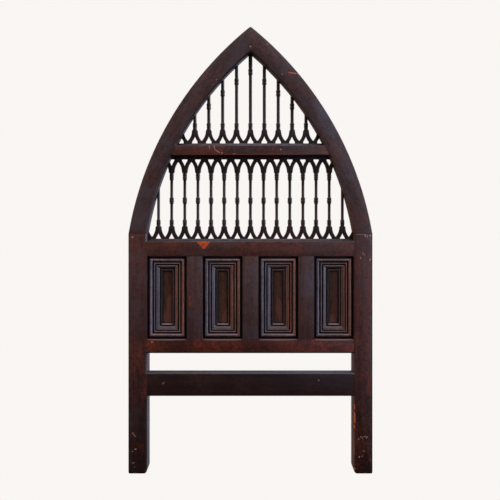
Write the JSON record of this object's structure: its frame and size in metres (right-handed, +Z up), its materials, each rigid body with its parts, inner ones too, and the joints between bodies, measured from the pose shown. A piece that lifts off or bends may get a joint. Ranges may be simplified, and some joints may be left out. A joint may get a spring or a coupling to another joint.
{
  "type": "gothic arch headboard",
  "caption": "Pointed-arch wooden headboard with moulded panels, a low stretcher and two galleries of turned spindles.",
  "frame": {"origin": "middle of the main rail's back face, where the headboard is fixed", "axes": "+Z up, +X to the viewer's right, the moulded front faces -Y"},
  "size_m": [1.04, 0.06, 1.906],
  "materials": {
    "leg_wood": "dark red-brown stain, worn satin varnish",
    "arch_wood": "dark red-brown stain, worn satin varnish",
    "rail_wood": "dark red-brown stain, worn satin varnish",
    "panel_wood": "dark red-brown stain, worn satin varnish",
    "spindle_wood": "dark red-brown stain, worn satin varnish"
  },
  "bodies": {
    "root": {"left_arch": "arch_wood", "left_leg": "leg_wood", "lower_arcade_bottom": "spindle_wood", "lower_arcade_top": "spindle_wood", "lower_spindle_1": "spindle_wood", "lower_spindle_10": "spindle_wood", "lower_spindle_11": "spindle_wood", "lower_spindle_12": "spindle_wood", "lower_spindle_13": "spindle_wood", "lower_spindle_14": "spindle_wood", "lower_spindle_15": "spindle_wood", "lower_spindle_2": "spindle_wood", "lower_spindle_3": "spindle_wood", "lower_spindle_4": "spindle_wood", "lower_spindle_5": "spindle_wood", "lower_spindle_6": "spindle_wood", "lower_spindle_7": "spindle_wood", "lower_spindle_8": "spindle_wood", "lower_spindle_9": "spindle_wood", "main_rail": "rail_wood", "mid_rail": "rail_wood", "moulding_1_bottom": "panel_wood", "moulding_1_left": "panel_wood", "moulding_1_right": "panel_wood", "moulding_1_top": "panel_wood", "moulding_2_bottom": "panel_wood", "moulding_2_left": "panel_wood", "moulding_2_right": "panel_wood", "moulding_2_top": "panel_wood", "moulding_3_bottom": "panel_wood", "moulding_3_left": "panel_wood", "moulding_3_right": "panel_wood", "moulding_3_top": "panel_wood", "moulding_4_bottom": "panel_wood", "moulding_4_left": "panel_wood", "moulding_4_right": "panel_wood", "moulding_4_top": "panel_wood", "muntin_1": "rail_wood", "muntin_2": "rail_wood", "muntin_3": "rail_wood", "panel_1": "panel_wood", "panel_2": "panel_wood", "panel_3": "panel_wood", "panel_4": "panel_wood", "panel_rail": "rail_wood", "right_arch": "arch_wood", "right_leg": "leg_wood", "stretcher": "rail_wood", "upper_arcade_bottom": "spindle_wood", "upper_spindle_1": "spindle_wood", "upper_spindle_2": "spindle_wood", "upper_spindle_3": "spindle_wood", "upper_spindle_4": "spindle_wood", "upper_spindle_5": "spindle_wood", "upper_spindle_6": "spindle_wood", "upper_spindle_7": "spindle_wood", "upper_spindle_8": "spindle_wood", "upper_spindle_9": "spindle_wood"}
  },
  "joints": []
}
